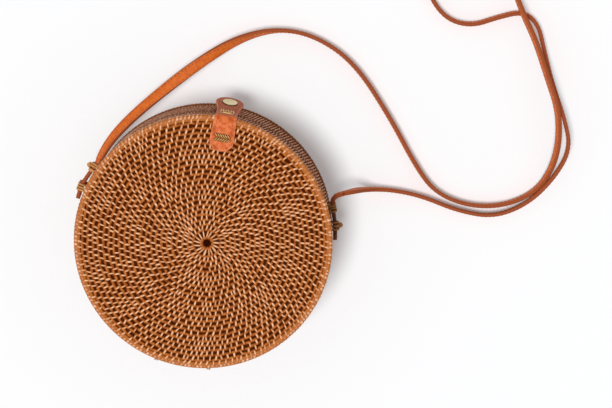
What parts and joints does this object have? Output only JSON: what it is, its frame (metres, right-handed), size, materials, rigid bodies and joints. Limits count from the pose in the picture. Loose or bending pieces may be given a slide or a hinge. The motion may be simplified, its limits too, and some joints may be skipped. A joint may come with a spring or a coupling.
{
  "type": "round woven shoulder bag",
  "caption": "Round shallow woven cane bag in two hinged halves, with a leather tab and press-stud clasp and a long leather shoulder strap lashed to its sides.",
  "frame": {"origin": "centre of the back face, which rests on the floor with the bag lying on its back", "axes": "+Z out of the front face, +Y towards the clasp, away from the hinge, +X to the right seen from the front"},
  "size_m": [0.3786, 0.3674, 0.0792],
  "materials": {
    "woven_cane": "smoked and oiled coiled vine weave, satin",
    "split_cane": "bare split cane strands, satin",
    "tan_leather": "tan leather with cut edges, satin",
    "pale_brass": "pale brass plating, satin",
    "lining_cotton": "plain woven cotton"
  },
  "bodies": {
    "back_half": {"back_panel": "woven_cane", "back_corner_coil": "woven_cane", "back_wall": "woven_cane", "back_rim_binding": "woven_cane", "back_lining": "lining_cotton", "hinge_tie_left": "split_cane", "hinge_tie_right": "split_cane", "back_tab": "tan_leather", "back_tab_stitch": "split_cane", "snap_stud": "pale_brass", "strap_end_left": "tan_leather", "strap_end_right": "tan_leather", "strap_knot_left_upper": "split_cane", "strap_knot_left_lower": "split_cane", "strap_knot_right_upper": "split_cane", "strap_knot_right_lower": "split_cane", "shoulder_strap": "tan_leather"},
    "front_half": {"front_panel": "woven_cane", "front_corner_coil": "woven_cane", "front_wall": "woven_cane", "front_rim_binding": "woven_cane", "front_lining": "lining_cotton", "front_tab": "tan_leather", "front_tab_panel_stitch": "split_cane", "front_tab_wall_stitch": "split_cane"},
    "snap_flap": {"flap_leather": "tan_leather", "snap_cap": "pale_brass", "snap_socket": "pale_brass"}
  },
  "joints": [
    {"name": "lid_hinge", "type": "hinge", "parent": "back_half", "child": "front_half", "pos_m": [0, -0.1003, 0.045], "axis": [1, 0, 0], "range_deg": [0, 100]},
    {"name": "flap_hinge", "type": "hinge", "parent": "front_half", "child": "snap_flap", "pos_m": [0, 0.1021, 0.0543], "axis": [1, 0, 0], "range_deg": [0, 100]}
  ]
}
